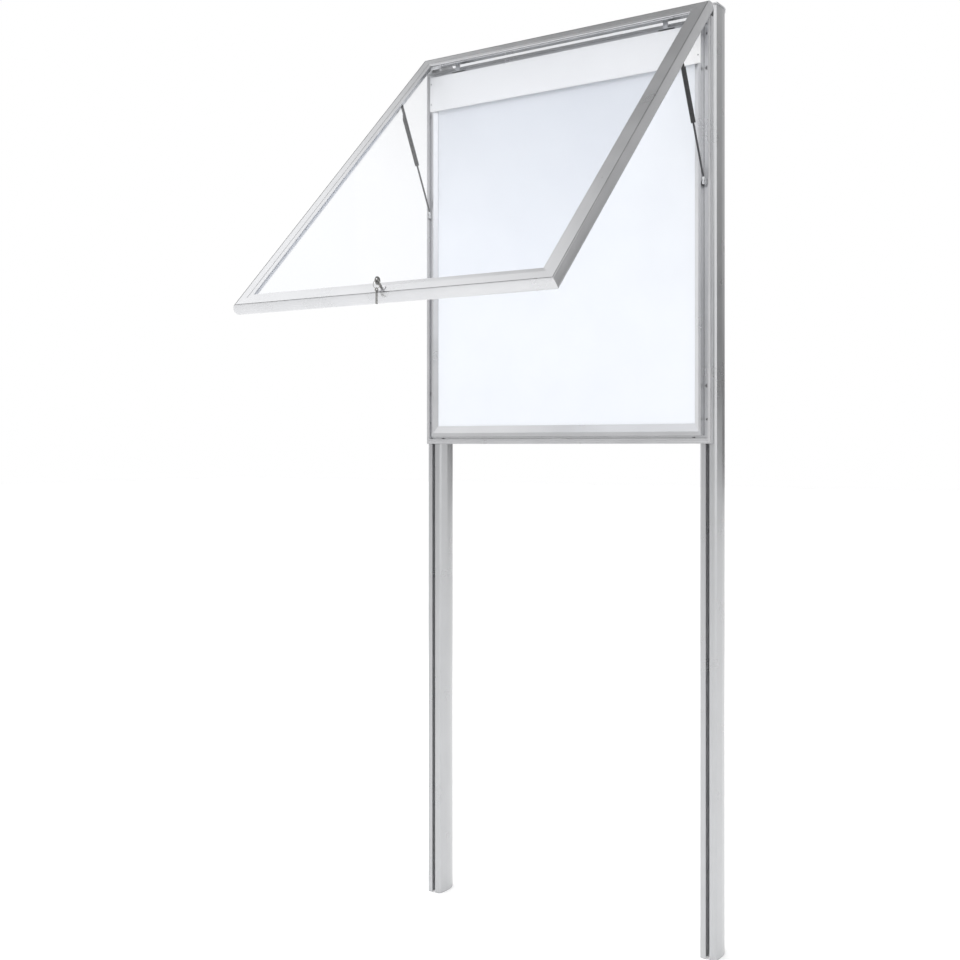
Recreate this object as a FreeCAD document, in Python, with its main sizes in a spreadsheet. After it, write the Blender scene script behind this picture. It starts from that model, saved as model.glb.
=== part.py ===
import FreeCAD, Part
import math
import os
import re
import Sketcher

# Lockable poster display case with a top-hinged door, carried by two slotted posts.
# X runs to the right, Y to the back and Z up. The origin lies on the ground, midway between
# the posts, in the plane of their front faces. The door stands open, at its upper stop.

Vector = FreeCAD.Vector

# Driving dimensions, in millimetres and degrees.
DIMENSIONS = {
    # posts
    "post_inset": 18,
    "post_above_case": 38,
    "post_width": 57,
    "post_front_half": 26.5,
    "post_corner_radius": 9.5,
    "post_widest_depth": 40,
    "post_nose_half": 17.5,
    "post_nose_depth": 88,
    "post_wall": 2.8,
    "slot_mouth": 12,
    "slot_lip": 3,
    "slot_cavity_width": 24,
    "slot_cavity_depth": 19,
    "cap_thickness": 4,
    "cap_overhang": 2.5,
    "cap_spigot": 12,
    "cap_play": 0.3,
    "foot_height": 15,
    # case
    "case_bottom": 1530,
    "case_height": 1262,
    "case_half_width": 516,
    "case_depth": 15,
    "rim_side": 12,
    "rim_end": 16,
    "case_wall": 1.8,
    "back_thickness": 3,
    "seal_thickness": 1.2,
    "seal_width": 6,
    "seal_inset": 3,
    "strike_half_length": 24,
    "strike_thickness": 1,
    "strike_margin": 0.5,
    "drain_inset": 60,
    "drain_radius": 3.5,
    "drain_height": 3,
    "cleat_leg": 32,
    "cleat_play": 0.2,
    # fixings of the case
    "bolt_low": 172,
    "bolt_drop": 148,
    "wall_hole_low": 72,
    "wall_hole_drop": 46,
    "wall_hole_radius": 3.5,
    "bolt_shank_radius": 3,
    "bolt_hole_radius": 3.3,
    "bolt_head_radius": 5.4,
    "bolt_head_height": 3.2,
    "crown_share": 0.55,
    "dome_share": 1.1,
    "rim_share": 0.3,
    "socket_share": 0.42,
    "socket_depth_share": 0.55,
    "nut_play": 3,
    "nut_height": 22,
    "nut_thickness": 6,
    "bolt_end": 2,
    # poster frame inside the case
    "frame_side_gap": 16,
    "frame_end_gap": 8,
    "frame_front": 27,
    "frame_side_flat": 7.5,
    "frame_side_width": 21.5,
    "frame_end_flat": 12.2,
    "frame_end_width": 35,
    "frame_lip_front": 19.5,
    "frame_lip_back": 18,
    "frame_web": 3,
    "board_thickness": 3,
    "board_play": 0.4,
    "header_height": 114,
    "header_thickness": 8,
    "header_screw_inset": 5,
    "header_screw_radius": 1.2,
    "header_screw_head": 2.2,
    "header_screw_height": 0.9,
    "header_screw_seat": 0.2,
    # door
    "door_open": 45,
    "door_over_case": 36,
    "door_depth": 33.5,
    "door_seal_gap": 0.3,
    "hinge_drop": 26,
    "hinge_depth": 16,
    "nose_bulge": 4.5,
    "mitre_over": 6,
    "edge_round": 2.5,
    "groove_width": 2.4,
    "groove_depth": 1.1,
    "door_wall": 1.8,
    "box_width": 12,
    "face_width": 31,
    "face_thickness": 3,
    "flange_width": 38,
    "flange_front": 9.5,
    "flange_back": 12,
    "bead_width": 46,
    "bead_front": 0.6,
    "bead_hook": 28.5,
    "bead_back": 4.4,
    "bead_slope": 0.6,
    "bead_gap": 0.2,
    "pane_inset": 28.5,
    "pane_front": 4.5,
    "pane_thickness": 4,
    "gasket_inner": 37,
    "gasket_outer": 30,
    # hinges
    "hinge_inset": 139,
    "hinge_half_length": 25,
    "hinge_middle": 8,
    "hinge_end_gap": 0.3,
    "barrel_radius": 3.5,
    "hinge_pin_radius": 1.8,
    "hinge_pin_play": 0.05,
    "leaf_thickness": 2,
    "hinge_plate_gap": 0.5,
    "leaf_clearance": 1,
    "tongue_over": 3,
    "tongue_sink": 0.5,
    "tongue_rise": 1.2,
    "hinge_screw_offset": 15,
    "screw_shank_radius": 1.6,
    "screw_head_radius": 3.2,
    "screw_head_height": 1.5,
    # gas struts
    "strut_inset": 20,
    "strut_case_drop": 490,
    "strut_case_depth": 20,
    "strut_door_drop": 224,
    "strut_door_depth": 23,
    "tube_radius": 7,
    "tube_bore": 5.8,
    "tube_end": 3,
    "tube_length": 160,
    "tube_guide": 8,
    "rod_radius": 3,
    "rod_length": 215,
    "rod_play": 0.05,
    "piston_length": 10,
    "eye_radius": 7,
    "eye_width": 6,
    "eye_pin_radius": 4,
    "eye_play": 0.06,
    "eye_shank": 5,
    "eye_sink": 1.5,
    "bracket_half_height": 10,
    "bracket_thickness": 2,
    "bracket_gap": 0.5,
    "bracket_over": 6,
    "pin_head_rise": 1.2,
    "pin_head_thickness": 1.5,
    "pin_over": 0.7,
    "blade_length": 40,
    "blade_thickness": 3,
    "blade_half_width": 5.5,
    "blade_offset": 4.5,
    "blade_hole_radius": 3.2,
    "blade_socket": 10,
    "blade_socket_radius": 4.5,
    "stud_gap": 0.6,
    "stud_radius": 4.5,
    "stud_base_rise": 3,
    "stud_base_thickness": 1.5,
    # lock and keys
    "lock_inset": 18.5,
    "lock_radius": 9.5,
    "lock_play": 0.1,
    "lock_flange_radius": 11.5,
    "lock_depth": 21.5,
    "lock_flange_thickness": 2,
    "plug_face": 2.4,
    "clip_half_length": 14,
    "clip_thickness": 1.2,
    "clip_gap": 0.3,
    "clip_lip": 2,
    "plug_radius": 6,
    "plug_play": 0.06,
    "tail_radius": 3,
    "keyway_depth": 20,
    "spigot_radius": 2.2,
    "cam_screw_radius": 1.2,
    "cam_screw_head": 2.8,
    "cam_screw_height": 1.4,
    "cam_screw_reach": 3,
    "cam_screw_hole": 10,
    "cam_screw_hole_front": 4,
    "cam_front": 38,
    "cam_thickness": 2.5,
    "cam_length": 17,
    "cam_half_width": 3,
    "cam_hub_rise": 0.2,
    "cam_slot_side": 2,
    "cam_slot_front": 1.5,
    "key_thickness": 2,
    "key_play": 0.15,
    "key_blade_half": 3.5,
    "key_tip_depth": 15,
    "key_shoulder_out": 7,
    "key_neck_out": 16,
    "key_neck_back": 5,
    "key_neck_half": 4.5,
    "key_bow_radius": 11,
    "key_bow_out": 26,
    "key_hole_out": 31,
    "key_hole_radius": 3,
    "spare_bow_radius": 6.5,
    "spare_bow_drop": 4,
    "spare_length": 40,
    "spare_neck": 8,
    "ring_radius": 11,
    "ring_wire": 0.9,
    "ring_hang": 1.9,
}

# Sizes that follow from the driving dimensions.
DERIVED = {
    "post_side": "(case_half_width - post_inset)",
    "post_length": "(case_bottom + case_height + post_above_case)",
    "door_length": "(case_height + door_over_case)",
    "bolt_high": "(case_height - bolt_drop)",
    "nut_width": "(slot_cavity_width - nut_play)",
    "hinge_spread": "(case_half_width - hinge_inset)",
    "wall_hole_high": "(case_height - wall_hole_drop)",
    "strut_side": "(case_half_width - strut_inset)",
    "strut_case_height": "(case_height - strut_case_drop)",
    "eye_side": "(strut_side - eye_width / 2)",
    "blade_side": "(strut_side - blade_offset)",
    "pin_start": "(strut_side - eye_width / 2 - pin_over - pin_head_thickness)",
}

doc = FreeCAD.newDocument("PosterCase")
sheet = doc.addObject("Spreadsheet::Sheet", "Dims")
for row, (alias, number) in enumerate(DIMENSIONS.items(), start=1):
    sheet.set("A%d" % row, alias)
    sheet.set("B%d" % row, str(number))
    sheet.setAlias("B%d" % row, alias)
doc.recompute()

parts = []


# ---------------------------------------------------------------- expressions

def linked(text):
    """Turn 'case_depth + 2' into an expression that reads the sheet."""
    def read(match):
        name = match.group(1)
        return linked(DERIVED[name]) if name in DERIVED else "Dims." + name

    return re.sub(r"\b([a-z][a-z_0-9]*)\b(?!\s*\()", read, str(text))


def value(text):
    """The number that an expression gives."""
    result = sheet.evalExpression(linked(text))
    return float(getattr(result, "Value", result))


def minus(text):
    return "-(%s)" % text


def bind(thing, prop, text):
    thing.setExpression(prop, linked(text))


# ---------------------------------------------------------------- sketches and features

def origin_plane(body, role):
    return [f for f in body.Origin.OriginFeatures if f.Role == role][0]


def new_sketch(body, role, shift="0"):
    """A sketch on one of the body's origin planes, moved along the plane's normal."""
    sketch = body.newObject("Sketcher::SketchObject", body.Name + "_sketch")
    sketch.AttachmentSupport = [(origin_plane(body, role), "")]
    sketch.MapMode = "FlatFace"
    bind(sketch, "AttachmentOffset.Base.z", shift)
    return sketch


def fix_point(sketch, index, end, x, y):
    """Hold one point of the sketch at two expressions."""
    for kind, text in (("DistanceX", x), ("DistanceY", y)):
        number = sketch.addConstraint(Sketcher.Constraint(kind, -1, 1, index, end, value(text)))
        bind(sketch, "Constraints[%d]" % number, text)


def arc_between(start, finish, radius, middle):
    """The arc that bulges away from its outline's middle, and whether it runs forwards.

    A sketch counts every arc anticlockwise, so an arc that turns clockwise is drawn backwards.
    """
    chord = finish - start
    half = chord.Length / 2
    rise = radius - math.sqrt(max(radius * radius - half * half, 0.0))
    side = Vector(chord.y, -chord.x, 0).normalize()
    centre = (start + finish) * 0.5
    if side.dot(centre - middle) < 0:
        return Part.Arc(finish, centre - side * rise, start), False
    return Part.Arc(start, centre + side * rise, finish), True


def add_outline(sketch, corners):
    """A closed outline. A corner is (x, y), or (x, y, radius) where an arc runs to the next."""
    points = [Vector(value(corner[0]), value(corner[1]), 0) for corner in corners]
    middle = Vector(0, 0, 0)
    for point in points:
        middle = middle + point * (1.0 / len(points))
    ends = []
    for i, corner in enumerate(corners):
        start = points[i]
        finish = points[(i + 1) % len(points)]
        if len(corner) == 3:
            curve, forward = arc_between(start, finish, value(corner[2]), middle)
        else:
            curve, forward = Part.LineSegment(start, finish), True
        index = sketch.addGeometry(curve, False)
        ends.append((index, 1, 2) if forward else (index, 2, 1))
    for i, (index, first, last) in enumerate(ends):
        after, after_first, _ = ends[(i + 1) % len(ends)]
        sketch.addConstraint(Sketcher.Constraint("Coincident", index, last, after, after_first))
    for (index, first, last), corner in zip(ends, corners):
        fix_point(sketch, index, first, corner[0], corner[1])
        if len(corner) == 3:
            number = sketch.addConstraint(Sketcher.Constraint("Radius", index, value(corner[2])))
            bind(sketch, "Constraints[%d]" % number, corner[2])


def add_circle(sketch, x, y, radius):
    centre = Vector(value(x), value(y), 0)
    index = sketch.addGeometry(Part.Circle(centre, Vector(0, 0, 1), value(radius)), False)
    fix_point(sketch, index, 3, x, y)
    number = sketch.addConstraint(Sketcher.Constraint("Radius", index, value(radius)))
    bind(sketch, "Constraints[%d]" % number, radius)


def rectangle(x_low, x_high, y_low, y_high):
    return [(x_low, y_low), (x_high, y_low), (x_high, y_high), (x_low, y_high)]


def new_body(name):
    return doc.addObject("PartDesign::Body", name)


def draw(body, role, outlines, circles, shift):
    sketch = new_sketch(body, role, shift)
    for corners in outlines:
        add_outline(sketch, corners)
    for x, y, radius in circles:
        add_circle(sketch, x, y, radius)
    return sketch


def pad(body, role, outlines, length, shift="0", circles=(), symmetric=False):
    """Pad a sketch along its plane's normal: +X for YZ, -Y for XZ, +Z for XY."""
    feature = body.newObject("PartDesign::Pad", body.Name + "_pad")
    feature.Profile = draw(body, role, outlines, circles, shift)
    bind(feature, "Length", length)
    if symmetric:
        feature.SideType = "Symmetric"
    body.Tip = feature
    return feature


def pocket(body, role, outlines, depth=None, shift="0", circles=()):
    """Cut against the plane's normal to a depth, or both ways through everything."""
    feature = body.newObject("PartDesign::Pocket", body.Name + "_pocket")
    feature.Profile = draw(body, role, outlines, circles, shift)
    if depth is None:
        feature.Type = "ThroughAll"
        feature.SideType = "Symmetric"
    else:
        bind(feature, "Length", depth)
    body.Tip = feature
    return feature


def revolve(body, corners):
    """Turn an outline of (radius, height) corners about the body's Z axis."""
    sketch = draw(body, "XZ_Plane", [corners], (), "0")
    feature = body.newObject("PartDesign::Revolution", body.Name + "_turn")
    feature.Profile = sketch
    feature.ReferenceAxis = (sketch, ["V_Axis"])
    feature.Angle = 360
    body.Tip = feature
    return feature


def put(thing, x="0", y="0", z="0", axis=(1, 0, 0), angle="0"):
    """Place a sub-part: turn it about an axis, then move it."""
    thing.Placement = FreeCAD.Placement(Vector(0, 0, 0), FreeCAD.Rotation(Vector(*axis), 1))
    bind(thing, "Placement.Rotation.Angle", angle)
    bind(thing, "Placement.Base.x", x)
    bind(thing, "Placement.Base.y", y)
    bind(thing, "Placement.Base.z", z)
    return thing


def keep(thing, label):
    """Name a sub-part and list it for export."""
    thing.Label = label
    parts.append(thing)
    return thing


def gather(label, pieces):
    """One node that holds several separate solids."""
    compound = doc.addObject("Part::Compound", label)
    compound.Links = pieces
    return keep(compound, label)


# ---------------------------------------------------------------- places

# The hinge axis, and the door's plane above it. Door pieces are drawn closed, with the hinge
# axis as their origin, and turned by the opening angle.
DOOR_INNER = "case_depth + seal_thickness + door_seal_gap"
DOOR_FACE = "(%s + door_depth)" % DOOR_INNER
HINGE_Y = "-(%s - hinge_depth)" % DOOR_FACE
HINGE_Z = "(post_length - hinge_drop)"
DOOR_TOP = "hinge_drop"
DOOR_FOOT = "(hinge_drop - door_length)"
LOCK_Z = "(hinge_drop - door_length + lock_inset)"
FRAME_HALF = "(case_half_width - rim_side - frame_side_gap)"
FRAME_FOOT = "(rim_end + frame_end_gap)"
FRAME_TOP = "(case_height - rim_end - frame_end_gap)"

# The strut's pivots: on the case in the case's frame, on the door with the door open.
STRUT_FOOT_Z = "(case_bottom + strut_case_height)"
DOOR_PIVOT_Y = "(strut_door_depth - hinge_depth)"
OPEN_PIVOT_Y = ("(%s + %s * cos(door_open) - strut_door_drop * sin(door_open))"
                % (HINGE_Y, DOOR_PIVOT_Y))
OPEN_PIVOT_Z = ("(%s - %s * sin(door_open) - strut_door_drop * cos(door_open))"
                % (HINGE_Z, DOOR_PIVOT_Y))
STRUT_RUN = "(-strut_case_depth - %s)" % OPEN_PIVOT_Y
STRUT_RISE = "(%s - %s)" % (OPEN_PIVOT_Z, STRUT_FOOT_Z)
STRUT_LENGTH = "sqrt(%s * %s + %s * %s)" % (STRUT_RUN, STRUT_RUN, STRUT_RISE, STRUT_RISE)
STRUT_ANGLE = "atan(%s / %s)" % (STRUT_RUN, STRUT_RISE)
TUBE_TOP = "(%s - blade_length)" % STRUT_LENGTH
TUBE_FOOT = "(%s - blade_length - tube_length)" % STRUT_LENGTH


def on_case(thing):
    return put(thing, z="case_bottom")


def on_door(thing):
    return put(thing, y=HINGE_Y, z=HINGE_Z, angle="-door_open")


def on_strut(thing, x="0"):
    return put(thing, x=x, y="-strut_case_depth", z=STRUT_FOOT_Z, angle=STRUT_ANGLE)


def depth(n):
    """The door's local Y at a depth behind its face."""
    return "(%s - hinge_depth)" % n


def mirrored(side, text):
    return text if side > 0 else minus(text)


SIDES = (("left", -1), ("right", 1))


# ---------------------------------------------------------------- posts

def post_curve_radii(inset):
    """Radii of the post's side and of its rounded back, for an outline moved inwards."""
    sink = "(post_width / 2 - post_nose_half)"
    rise = "(post_nose_depth - post_widest_depth)"
    side = "((%s * %s + %s * %s) / (2 * %s))" % (sink, sink, rise, rise, sink)
    nose = "(post_nose_half * %s / (%s - %s))" % (side, side, sink)
    return side, "(%s - %s)" % (side, inset), "(%s - %s)" % (nose, inset)


def post_back(inset):
    """The post's outline behind its widest place, from right to left."""
    side, side_radius, nose_radius = post_curve_radii(inset)
    sink = "(post_width / 2 - post_nose_half)"
    rise = "(post_nose_depth - post_widest_depth)"
    corner_x = "(post_nose_half - %s * (%s - %s) / %s)" % (inset, side, sink, side)
    corner_y = "(post_nose_depth - %s * %s / %s)" % (inset, rise, side)
    widest = "(post_width / 2 - %s)" % inset
    return [
        (widest, "post_widest_depth", side_radius),
        (corner_x, corner_y, nose_radius),
        (minus(corner_x), corner_y, side_radius),
        (minus(widest), "post_widest_depth"),
    ]


def post_outline():
    """The outer outline, with the T-slot open to the front."""
    flat = "(post_front_half - post_corner_radius)"
    cavity_back = "(slot_lip + slot_cavity_depth)"
    return [
        ("slot_mouth / 2", "0"),
        (flat, "0", "post_corner_radius"),
        ("post_front_half", "post_corner_radius"),
        *post_back("0"),
        ("-post_front_half", "post_corner_radius", "post_corner_radius"),
        (minus(flat), "0"),
        ("-slot_mouth / 2", "0"),
        ("-slot_mouth / 2", "slot_lip"),
        ("-slot_cavity_width / 2", "slot_lip"),
        ("-slot_cavity_width / 2", cavity_back),
        ("slot_cavity_width / 2", cavity_back),
        ("slot_cavity_width / 2", "slot_lip"),
        ("slot_mouth / 2", "slot_lip"),
    ]


def post_chamber(play):
    """The hollow behind the T-slot."""
    front = "(slot_lip + slot_cavity_depth + post_wall + %s)" % play
    inset = "(post_wall + %s)" % play
    half = "(post_front_half - %s)" % inset
    return [(minus(half), front), (half, front), *post_back(inset)]


def post_side_chamber(side):
    inner = mirrored(side, "(slot_cavity_width / 2 + post_wall)")
    outer = mirrored(side, "(post_front_half - post_wall)")
    return rectangle(inner, outer, "(2 * post_wall)", "(slot_lip + slot_cavity_depth)")


def make_post(name, side):
    body = new_body(name)
    loops = [post_outline(), post_chamber("0"), post_side_chamber(-1), post_side_chamber(1)]
    pad(body, "XY_Plane", loops, "post_length")
    put(body, x=mirrored(side, "post_side"))
    keep(body, name)


def cap_outline():
    half = "(post_width / 2 + cap_overhang)"
    return [
        (minus(half), "-cap_overhang"),
        (half, "-cap_overhang"),
        (half, "post_widest_depth", "(%s)" % post_curve_radii("-cap_overhang")[1]),
        ("(post_nose_half + cap_overhang)", "(post_nose_depth + cap_overhang)",
         "(%s)" % post_curve_radii("-cap_overhang")[2]),
        ("-(post_nose_half + cap_overhang)", "(post_nose_depth + cap_overhang)",
         "(%s)" % post_curve_radii("-cap_overhang")[1]),
        (minus(half), "post_widest_depth"),
    ]


def make_post_cap(name, side):
    """A plate over the post's end, with a spigot in its chamber."""
    body = new_body(name)
    pad(body, "XY_Plane", [cap_outline()], "cap_thickness")
    pad(body, "XY_Plane", [post_chamber("cap_play")], "cap_spigot", shift="-cap_spigot")
    put(body, x=mirrored(side, "post_side"), z="post_length")
    keep(body, name)


def make_post_foot(name, side):
    """A plug that closes the chamber at the foot and takes the load on the ground."""
    body = new_body(name)
    pad(body, "XY_Plane", [post_chamber("cap_play")], "foot_height")
    put(body, x=mirrored(side, "post_side"))
    keep(body, name)


# ---------------------------------------------------------------- case

def make_case_rail_end(name, top):
    """The case's bottom or top rim: a hollow tube with mitred ends."""
    body = new_body(name)
    low = "(case_height - rim_end)" if top else "0"
    high = "case_height" if top else "rim_end"
    outer = rectangle("-case_depth", "0", low, high)
    inner = rectangle("(case_wall - case_depth)", "-case_wall",
                      "(%s + case_wall)" % low, "(%s - case_wall)" % high)
    pad(body, "YZ_Plane", [outer, inner], "(2 * case_half_width)", symmetric=True)
    inside = low if top else high
    outside = high if top else low
    for side in (-1, 1):
        wedge = [
            (mirrored(side, "case_half_width"), outside),
            (mirrored(side, "case_half_width"), inside),
            (mirrored(side, "(case_half_width - rim_side)"), inside),
        ]
        pocket(body, "XZ_Plane", [wedge])
    if top:
        pocket(body, "XY_Plane", [], depth="(2 * case_wall)", shift="(%s + case_wall)" % low,
               circles=[(x, "-(case_depth / 2)", "screw_shank_radius")
                        for x in hinge_screw_places()])
    else:
        pocket(body, "XY_Plane", [cam_slot()], depth="(2 * case_wall)", shift="rim_end")
    on_case(body)
    keep(body, name)


def hinge_screw_places():
    return ["(%s + %s)" % (mirrored(side, "hinge_spread"), mirrored(end, "hinge_screw_offset"))
            for side in (-1, 1) for end in (-1, 1)]


def cam_slot():
    """Where the lock's cam turns down into the bottom rim."""
    return rectangle("(-cam_half_width - cam_slot_side)", "(cam_length + cam_slot_side)",
                     "(cam_front - cam_slot_front - %s)" % DOOR_FACE,
                     "(cam_front + cam_thickness + cam_slot_front - %s)" % DOOR_FACE)


def make_case_rail_side(name, side):
    body = new_body(name)
    edge = mirrored(side, "case_half_width")
    inner_edge = mirrored(side, "(case_half_width - rim_side)")
    outer = rectangle(edge, inner_edge, "-case_depth", "0")
    hollow = rectangle(mirrored(side, "(case_half_width - case_wall)"),
                       mirrored(side, "(case_half_width - rim_side + case_wall)"),
                       "(case_wall - case_depth)", "-case_wall")
    pad(body, "XY_Plane", [outer, hollow], "case_height")
    foot = [(edge, "0"), (inner_edge, "0"), (inner_edge, "rim_end")]
    head = [(edge, "case_height"), (inner_edge, "case_height"),
            (inner_edge, "(case_height - rim_end)")]
    pocket(body, "XZ_Plane", [foot])
    pocket(body, "XZ_Plane", [head])
    on_case(body)
    keep(body, name)


def make_case_cleats():
    """An angle in each corner of the rim, which joins the two tubes."""
    pieces = []
    for side in (-1, 1):
        for top in (False, True):
            outer_x = "(case_half_width - case_wall - cleat_play)"
            inner_x = "(case_half_width - rim_side + case_wall + cleat_play)"
            legs = ["(case_wall + cleat_play)", "(rim_end - case_wall - 3 * cleat_play)",
                    "(rim_end + cleat_leg)"]
            if top:
                legs = ["(case_height - %s)" % leg for leg in legs]
            near, bend, far = legs
            end_x = "(case_half_width - rim_side - cleat_leg)"
            corners = [(outer_x, near), (outer_x, far), (inner_x, far), (inner_x, bend),
                       (end_x, bend), (end_x, near)]
            corners = [(mirrored(side, x), z) for x, z in corners]
            body = new_body("case_cleat")
            pad(body, "XZ_Plane", [corners],
                "(case_depth - 2 * case_wall - 2 * cleat_play)",
                shift="(case_wall + cleat_play)")
            pieces.append(on_case(body))
    gather("case_corner_cleats", pieces)


def fixing_places(low, high):
    return [(mirrored(side, "post_side"), z) for side in (-1, 1) for z in (low, high)]


def make_back_sheet():
    """The case's back, which is also the floor of the channel round the poster frame."""
    body = new_body("case_back_sheet")
    half = "(case_half_width - rim_side)"
    outline = rectangle(minus(half), half, "rim_end", "(case_height - rim_end)")
    bolts = [(x, z, "bolt_hole_radius") for x, z in fixing_places("bolt_low", "bolt_high")]
    walls = [(x, z, "wall_hole_radius") for x, z in fixing_places("wall_hole_low", "wall_hole_high")]
    pad(body, "XZ_Plane", [outline], "back_thickness", circles=bolts + walls)
    on_case(body)
    keep(body, "case_back_sheet")


def make_case_seal():
    """A flat rubber seal on the front of the rim."""
    body = new_body("case_seal")
    out_x = "(case_half_width - seal_inset)"
    in_x = "(case_half_width - seal_inset - seal_width)"
    outer = rectangle(minus(out_x), out_x, "seal_inset", "(case_height - seal_inset)")
    inner = rectangle(minus(in_x), in_x, "(seal_inset + seal_width)",
                      "(case_height - seal_inset - seal_width)")
    pad(body, "XZ_Plane", [outer, inner], "seal_thickness", shift="case_depth")
    on_case(body)
    keep(body, "case_seal")


def make_strike_plate():
    """The plate that the cam locks behind, on the bottom rim."""
    body = new_body("strike_plate")
    outline = rectangle("-strike_half_length", "strike_half_length",
                        "-(case_depth - strike_margin)", "-(back_thickness + strike_margin)")
    pad(body, "XY_Plane", [outline, cam_slot()], "strike_thickness", shift="rim_end")
    on_case(body)
    keep(body, "strike_plate")


def make_drain_plugs():
    pieces = []
    for side in (-1, 1):
        body = new_body("drain_plug")
        spot = (mirrored(side, "(case_half_width - drain_inset)"), "-(case_depth / 2)")
        pad(body, "XY_Plane", [], "drain_height", shift="rim_end",
            circles=[(*spot, "drain_radius")])
        pieces.append(on_case(body))
    gather("drain_plugs", pieces)


# ---------------------------------------------------------------- screws, bolts and nuts

def turned_screw(name, shank, head, height, length):
    """A screw with a domed head and a socket, drawn with its head upwards and its seat at zero."""
    body = new_body(name)
    crown = "(%s * crown_share)" % head
    socket = "(%s * socket_share)" % head
    socket_floor = "(%s * (1 - socket_depth_share))" % height
    corners = [
        ("0", minus(length)),
        (shank, minus(length)),
        (shank, "0"),
        (head, "0"),
        (head, "(%s * rim_share)" % height, "(%s * dome_share)" % head),
        (crown, height),
        (socket, height),
        (socket, socket_floor),
        ("0", socket_floor),
    ]
    revolve(body, corners)
    return body


def make_case_bolts():
    """Bolts through the case's back into nuts that sit in the posts' T-slots."""
    bolts = []
    nuts = []
    for x, z in fixing_places("bolt_low", "bolt_high"):
        bolt = turned_screw("case_bolt", "bolt_shank_radius", "bolt_head_radius",
                            "bolt_head_height",
                            "(back_thickness + slot_lip + nut_thickness + bolt_end)")
        height = "(case_bottom + %s)" % z
        bolts.append(put(bolt, x=x, y="-back_thickness", z=height, angle="90"))
        nut = new_body("slot_nut")
        outline = rectangle("-(nut_width / 2)", "(nut_width / 2)", "-nut_height / 2", "nut_height / 2")
        pad(nut, "XZ_Plane", [outline], "nut_thickness", circles=[("0", "0", "bolt_shank_radius")])
        nuts.append(put(nut, x=x, y="(slot_lip + nut_thickness)", z=height))
    gather("case_bolts", bolts)
    gather("slot_nuts", nuts)


# ---------------------------------------------------------------- poster frame

def make_frame_rail_side(name, side):
    """A side of the poster frame: a flat front, a slope down to the board, a rebate behind."""
    body = new_body(name)
    profile = [
        ("0", "back_thickness"), ("0", "frame_front"), ("frame_side_flat", "frame_front"),
        ("frame_side_width", "frame_lip_front"), ("frame_side_width", "frame_lip_back"),
        ("frame_web", "frame_lip_back"), ("frame_web", "back_thickness"),
    ]
    corners = [(mirrored(side, "(%s - %s)" % (FRAME_HALF, x)), minus(y)) for x, y in profile]
    pad(body, "XY_Plane", [corners], "(%s - %s)" % (FRAME_TOP, FRAME_FOOT), shift=FRAME_FOOT)
    outer = mirrored(side, FRAME_HALF)
    inner = mirrored(side, "(%s - frame_side_width)" % FRAME_HALF)
    pocket(body, "XZ_Plane", [[(outer, FRAME_FOOT), (inner, FRAME_FOOT),
                               (inner, "(%s + frame_end_width)" % FRAME_FOOT)]])
    pocket(body, "XZ_Plane", [[(outer, FRAME_TOP), (inner, FRAME_TOP),
                               (inner, "(%s - frame_end_width)" % FRAME_TOP)]])
    on_case(body)
    keep(body, name)


def make_frame_rail_end(name, top):
    body = new_body(name)
    profile = [
        ("0", "back_thickness"), ("0", "frame_front"), ("frame_end_flat", "frame_front"),
        ("frame_end_width", "frame_lip_front"), ("frame_end_width", "frame_lip_back"),
        ("frame_web", "frame_lip_back"), ("frame_web", "back_thickness"),
    ]

    def height(x):
        return "(%s - %s)" % (FRAME_TOP, x) if top else "(%s + %s)" % (FRAME_FOOT, x)

    pad(body, "YZ_Plane", [[(minus(y), height(x)) for x, y in profile]],
        "(2 * %s)" % FRAME_HALF, symmetric=True)
    for side in (-1, 1):
        outer = mirrored(side, FRAME_HALF)
        inner = mirrored(side, "(%s - frame_side_width)" % FRAME_HALF)
        wedge = [(outer, height("0")), (outer, height("frame_end_width")),
                 (inner, height("frame_end_width"))]
        pocket(body, "XZ_Plane", [wedge])
    on_case(body)
    keep(body, name)


def make_poster_board():
    """The white board that posters are fixed to, held behind the frame's lips."""
    body = new_body("poster_board")
    half = "(%s - frame_web - board_play)" % FRAME_HALF
    outline = rectangle(minus(half), half, "(%s + frame_web + board_play)" % FRAME_FOOT,
                        "(%s - frame_web - board_play)" % FRAME_TOP)
    pad(body, "XZ_Plane", [outline], "board_thickness",
        shift="(frame_lip_back - board_thickness)")
    on_case(body)
    keep(body, "poster_board")


def make_header_panel():
    """The shallow white fascia across the top of the poster frame."""
    body = new_body("header_panel")
    outline = rectangle(minus(FRAME_HALF), FRAME_HALF,
                        "(%s - header_height)" % FRAME_TOP, FRAME_TOP)
    pad(body, "XZ_Plane", [outline], "header_thickness", shift="frame_front")
    on_case(body)
    keep(body, "header_panel")


def make_header_screws():
    """Two small screws at each end of the header."""
    pieces = []
    for side in (-1, 1):
        for drop in ("(header_height / 5)", "(header_height * 4 / 5)"):
            screw = turned_screw("header_screw", "header_screw_radius", "header_screw_head",
                                 "header_screw_height", "header_screw_seat")
            pieces.append(put(screw, x=mirrored(side, "(%s - header_screw_inset)" % FRAME_HALF),
                              y="-(frame_front + header_thickness + header_screw_seat)",
                              z="(case_bottom + %s - %s)" % (FRAME_TOP, drop), angle="90"))
    gather("header_screws", pieces)


# ---------------------------------------------------------------- door

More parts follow.
